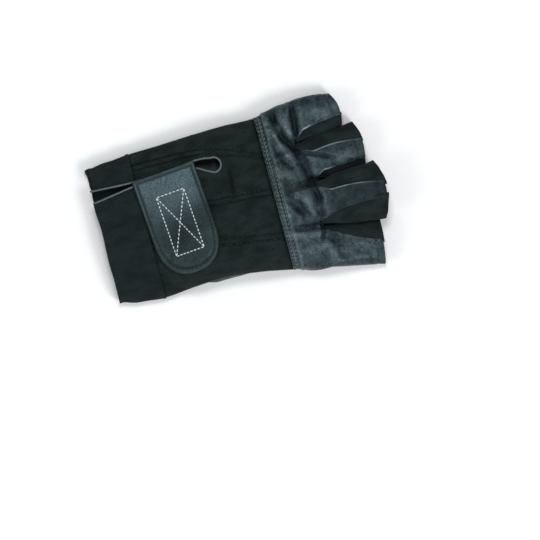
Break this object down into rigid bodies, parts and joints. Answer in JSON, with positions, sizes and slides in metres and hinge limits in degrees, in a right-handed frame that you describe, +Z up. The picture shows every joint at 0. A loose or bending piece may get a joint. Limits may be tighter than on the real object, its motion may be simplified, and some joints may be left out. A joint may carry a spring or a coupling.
{
  "type": "fingerless wheelchair glove",
  "caption": "Fingerless glove for the left hand with leather palm, knuckles and full thumb, stretch back, elastic wrist band, bound wrist slit and closing strap.",
  "frame": {"origin": "centre of the glove's footprint, on the surface that it lies on, palm down", "axes": "+Y from the wrist to the finger ends, +X to the thumb side, +Z up out of the back of the hand"},
  "size_m": [0.1186, 0.186, 0.0319],
  "materials": {
    "knuckle_leather": "smooth black hide, wrinkled, satin sheen",
    "palm_leather": "smooth black hide, creased, satin sheen",
    "thumb_leather": "greenish black hide, matte, worn",
    "strap_leather": "coarse grained black hide, satin",
    "stretch_fabric": "ribbed black stretch knit, matte",
    "wrist_elastic": "black terry faced elastic, matte",
    "edge_binding": "grey green rolled edge, satin"
  },
  "bodies": {
    "root": {"cuff_band": "wrist_elastic", "back_panel": "stretch_fabric", "knuckle_panel": "knuckle_leather", "palm_panel": "palm_leather", "palm_heel": "palm_leather", "thumb_back": "thumb_leather", "thumb_front": "thumb_leather", "side_strip_pinky_ring": "stretch_fabric", "side_strip_ring_middle": "stretch_fabric", "side_strip_middle_index": "stretch_fabric", "slit_binding": "edge_binding", "wrist_strap": "strap_leather"}
  },
  "joints": []
}
